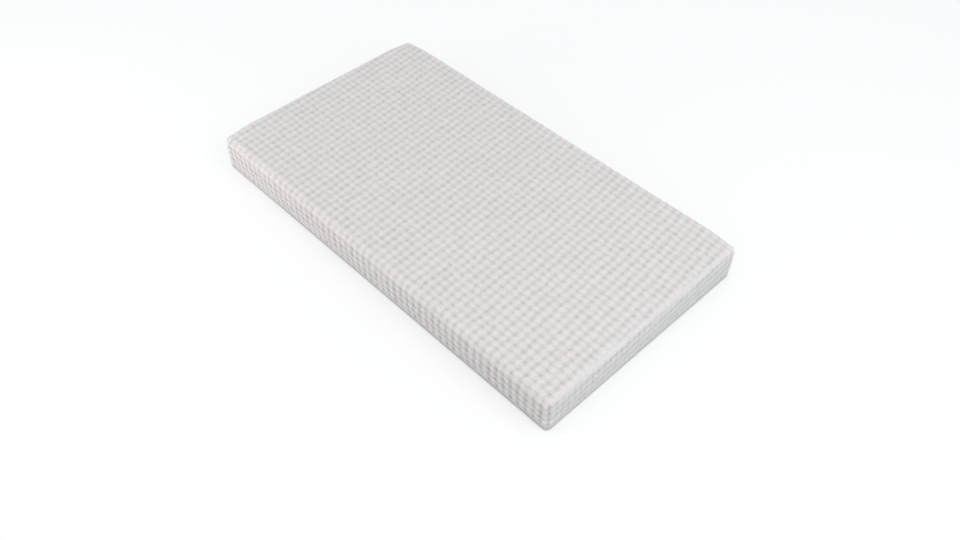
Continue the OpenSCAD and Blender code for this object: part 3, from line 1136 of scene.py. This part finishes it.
lining_finish = Finish("jersey_lining", roughness=0.95, sheen_weight=0.1)
place = lining_finish.here()
x, y, z = lining_finish.split(place)
jersey = (x + y).sine(0.0018) * 0.5 + (z + x - y).sine(0.0014) * 0.3
lint = lining_finish.noise(place, 0.01)
lining_finish.set(
    "Base Color", lining_finish.tint(lint, (0.84, 0.82, 0.80), (0.74, 0.72, 0.70))
)
lining_finish.bump(jersey + lint, 0.00012)

choose(cover)
bpy.ops.object.shade_smooth_by_angle(angle=math.radians(80))
fit(cover, knit_finish, "top_cover", "knit_cover", "cover_top")
cover.data.materials.append(lining_finish.material)
cover.data.polygons.foreach_set("material_index", (face_row > knit_rows + 0.5).astype(int))

# Stitching of the cover's hem
# A row of lock stitches in white thread, through the rolled hem and the upper zip tape.
hem_stitch_sunk = 0.0005
stitch_share = hem_stitch_row / wall_rows
stitch_z = hem_z + wall_h * stitch_share
stitch_inset = draw_in * (1 - math.cos((1 - stitch_share) * math.pi / 2)) + hem_stitch_sunk
hem_stitches = stitch_row(
    "hem_stitches",
    run_round(stitch_inset, stitch_z, zip_start_y, zip_start_y - stitch_gap),
)
fit(hem_stitches, thread, "top_cover", "knit_cover")

# Corner seams
# The knit's raw edges, folded inwards along each upright corner, with an overlock thread that
# binds them. They lie between the cover and the foam's rounded corners.
fold_t = 0.0024
fold_w = 0.005
fold_gap = 0.0003
fold_out = corner_r - lining_inset - fold_gap
fold_low = lining_low
fold_high = 0.1340
fold_cuts = 22
fold_edge_r = 0.0006
ripple_h = 0.0003
ripple_pitch = 0.022
loop_size = (0.0019, 0.00135, 0.0009)
loop_pitch = 0.0032

folds = plain_block(
    "corner_seam_folds",
    Vector((fold_out - fold_w, -fold_t / 2, fold_low)),
    Vector((fold_out, fold_t / 2, fold_high)),
)
saw(folds, (0, 0, 1), np.linspace(fold_low, fold_high, fold_cuts + 2)[1:-1])
points = get_points(folds)
free_edge = points[:, 0] < fold_out - fold_w / 2
ripple = ripple_h * np.sin(points[:, 2] * 2 * math.pi / ripple_pitch)
points[free_edge, 1] += ripple[free_edge]
set_points(folds, points)
soften(folds, fold_edge_r)
clear_selection()
bpy.ops.mesh.primitive_torus_add(
    major_segments=8, minor_segments=3, major_radius=1, minor_radius=0.2
)
loops = bpy.context.object
first_loop = (fold_out - fold_w + loop_size[0], 0, fold_low + loop_pitch)
set_points(loops, get_points(loops) * loop_size + first_loop)
bpy.ops.object.shade_smooth()
repeat(loops, int((fold_high - fold_low) / loop_pitch) - 1, (0, 0, loop_pitch))
join([folds, loops])
corner_copies = [folds]
for _ in range(3):
    copy = folds.copy()
    copy.data = folds.data.copy()
    bpy.context.scene.collection.objects.link(copy)
    corner_copies.append(copy)
for copy, (side, end) in zip(corner_copies, ((1, 1), (1, -1), (-1, 1), (-1, -1))):
    corner = Vector((side * (half_w - corner_r), end * (half_l - corner_r), 0))
    turn = Matrix.Rotation(math.atan2(end, side), 4, "Z")
    copy.data.transform(Matrix.Translation(corner) @ turn)
join(corner_copies)
fit(folds, lining_finish, "top_cover", "knit_cover", "corner_seams")

# Upper half of the zip
# The same tape and coil as below, sewn inside the padded cover's hem. Its coil ends short of the
# parked slider, so that the two halves come apart.
tape_upper = zip_tape("upper_zip_tape", "zip_tape_upper")
fit(tape_upper, tape_finish, "top_cover", "zip_tape", "zip_tape_upper")
coil_upper = zip_coil("upper_zip_coil", "zip_coil_upper", upper_end_y, zip_start_y)
fit(coil_upper, coil_finish, "top_cover", "zip_coil", "zip_coil_upper")
stop_upper = zip_stops("upper_zip_stop", "zip_stop_upper", [zip_start_y])
fit(stop_upper, coil_finish, "top_cover", "zip_coil", "zip_stop_upper")

# Slider and pull
# Die-cast zinc alloy with a satin nickel finish. The slider's plates hold it on the coils, and the
# pull hangs on the bar between its lugs.
slider_edge_r = 0.00018
pull_edge_r = 0.00022


def cast_piece(name, node, edge_r):
    """Copy of a node's solid, with the soft edges of a casting."""
    piece = bpy.data.objects.new(name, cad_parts[node].data.copy())
    bpy.context.scene.collection.objects.link(piece)
    choose(piece)
    bpy.ops.object.mode_set(mode="EDIT")
    bpy.ops.mesh.select_all(action="SELECT")
    bpy.ops.mesh.remove_doubles(threshold=0.000002)
    bpy.ops.mesh.dissolve_limited(angle_limit=math.radians(2))
    bpy.ops.object.mode_set(mode="OBJECT")
    soften(piece, edge_r, segments=3, smooth_angle=35)
    return piece


zip_metal = Finish("satin_nickel", metallic=1.0, roughness=0.35)
place = zip_metal.here()
brushed = zip_metal.noise(place, 0.0006)
worn = zip_metal.noise(place, 0.004)
zip_metal.set("Base Color", zip_metal.tint(worn, (0.76, 0.77, 0.78), (0.62, 0.63, 0.64)))
zip_metal.set("Roughness", brushed * 0.25 + 0.22)
zip_metal.bump(brushed, 0.00003)
zip_slider = cast_piece("cast_zip_slider", "zip_slider", slider_edge_r)
fit(zip_slider, zip_metal, "slider", "zip_metal", "zip_slider")
zip_pull = cast_piece("cast_zip_pull", "zip_pull", pull_edge_r)
fit(zip_pull, zip_metal, "pull", "zip_metal", "zip_pull")

# Studio
# A pale floor and an even white surround. A soft lamp shines from above in front, and two low ones
# fill the near end and the far part of the side. The camera has the photograph's viewing angle.
floor_size = 60
floor_gap = 0.0005
floor_glow = 0.46
camera_distance = 4.0349
camera_right = 0.0615
camera_up = -0.2319


def seen_directly(shading):
    """1 for what the camera sees, also in a mirror or through glass."""
    rays = [
        shading.add("ShaderNodeLightPath", output=name)
        for name in ("Is Camera Ray", "Is Glossy Ray", "Is Transmission Ray")
    ]
    return rays[0].math("MAXIMUM", rays[0], rays[1].math("MAXIMUM", rays[1], rays[2]))


clear_selection()
bpy.ops.mesh.primitive_plane_add(size=floor_size, location=(0, 0, -floor_gap))
floor = bpy.context.object
floor.name = "studio_floor"
floor_finish = Finish("floor_paint", roughness=0.9, base_color=(0.6, 0.6, 0.6, 1))
floor_finish.set(
    "Emission Color", floor_finish.tint(seen_directly(floor_finish), (0, 0, 0), (1, 1, 1))
)
floor_finish.set("Emission Strength", floor_glow)
floor.data.materials.append(floor_finish.material)

world = bpy.data.worlds.new("studio")
bpy.context.scene.world = world
world.use_nodes = True
surround = Shading(world.node_tree)
light = {"Color": (0.945, 0.98, 1.0, 1), "Strength": 0.78}
white = {"Color": (1, 1, 1, 1), "Strength": 1.0}
mixed = surround.add(
    "ShaderNodeMixShader",
    {},
    {
        0: seen_directly(surround),
        1: surround.add("ShaderNodeBackground", {}, light),
        2: surround.add("ShaderNodeBackground", {}, white),
    },
)
surround.link(world.node_tree.nodes["World Output"].inputs["Surface"], mixed)

for name, size, energy, colour, place, aim in (
    ("key", 2.5, 25, (1.0, 0.89, 0.85), (-0.2, -2.7, 3.1), (0, -0.1, 0)),
    ("end_fill", 2.0, 7, (0.25, 0.92, 1.0), (0.3, -3.4, 0.4), (0, -1, 0.1)),
    ("side_fill", 1.5, 28, (1.0, 0.97, 0.94), (-2.5, 1.8, 0.15), (-0.55, 0.7, 0.08)),
):
    lamp_data = bpy.data.lights.new(name, "AREA")
    lamp_data.size = size
    lamp_data.energy = energy
    lamp_data.color = colour
    lamp = bpy.data.objects.new(name, lamp_data)
    bpy.context.scene.collection.objects.link(lamp)
    lamp.location = place
    lamp.rotation_mode = "QUATERNION"
    lamp.rotation_quaternion = (Vector(aim) - lamp.location).to_track_quat("-Z", "Y")

azimuth = math.radians(-43.939)
elevation = math.radians(47.719)
back = Vector((
    math.sin(azimuth) * math.cos(elevation),
    -math.cos(azimuth) * math.cos(elevation),
    math.sin(elevation),
))
right = Vector((math.cos(azimuth), math.sin(azimuth), 0))
up = back.cross(right)
camera_data = bpy.data.cameras.new("camera")
camera_data.sensor_width = 36
camera_data.lens = 34.770
camera = bpy.data.objects.new("camera", camera_data)
bpy.context.scene.collection.objects.link(camera)
stand = camera_distance * back + camera_right * right + camera_up * up
facing = Matrix((right, up, back)).transposed()
camera.matrix_world = Matrix.Translation(stand) @ facing.to_4x4()
bpy.context.scene.camera = camera
bpy.context.scene.view_settings.view_transform = "Standard"
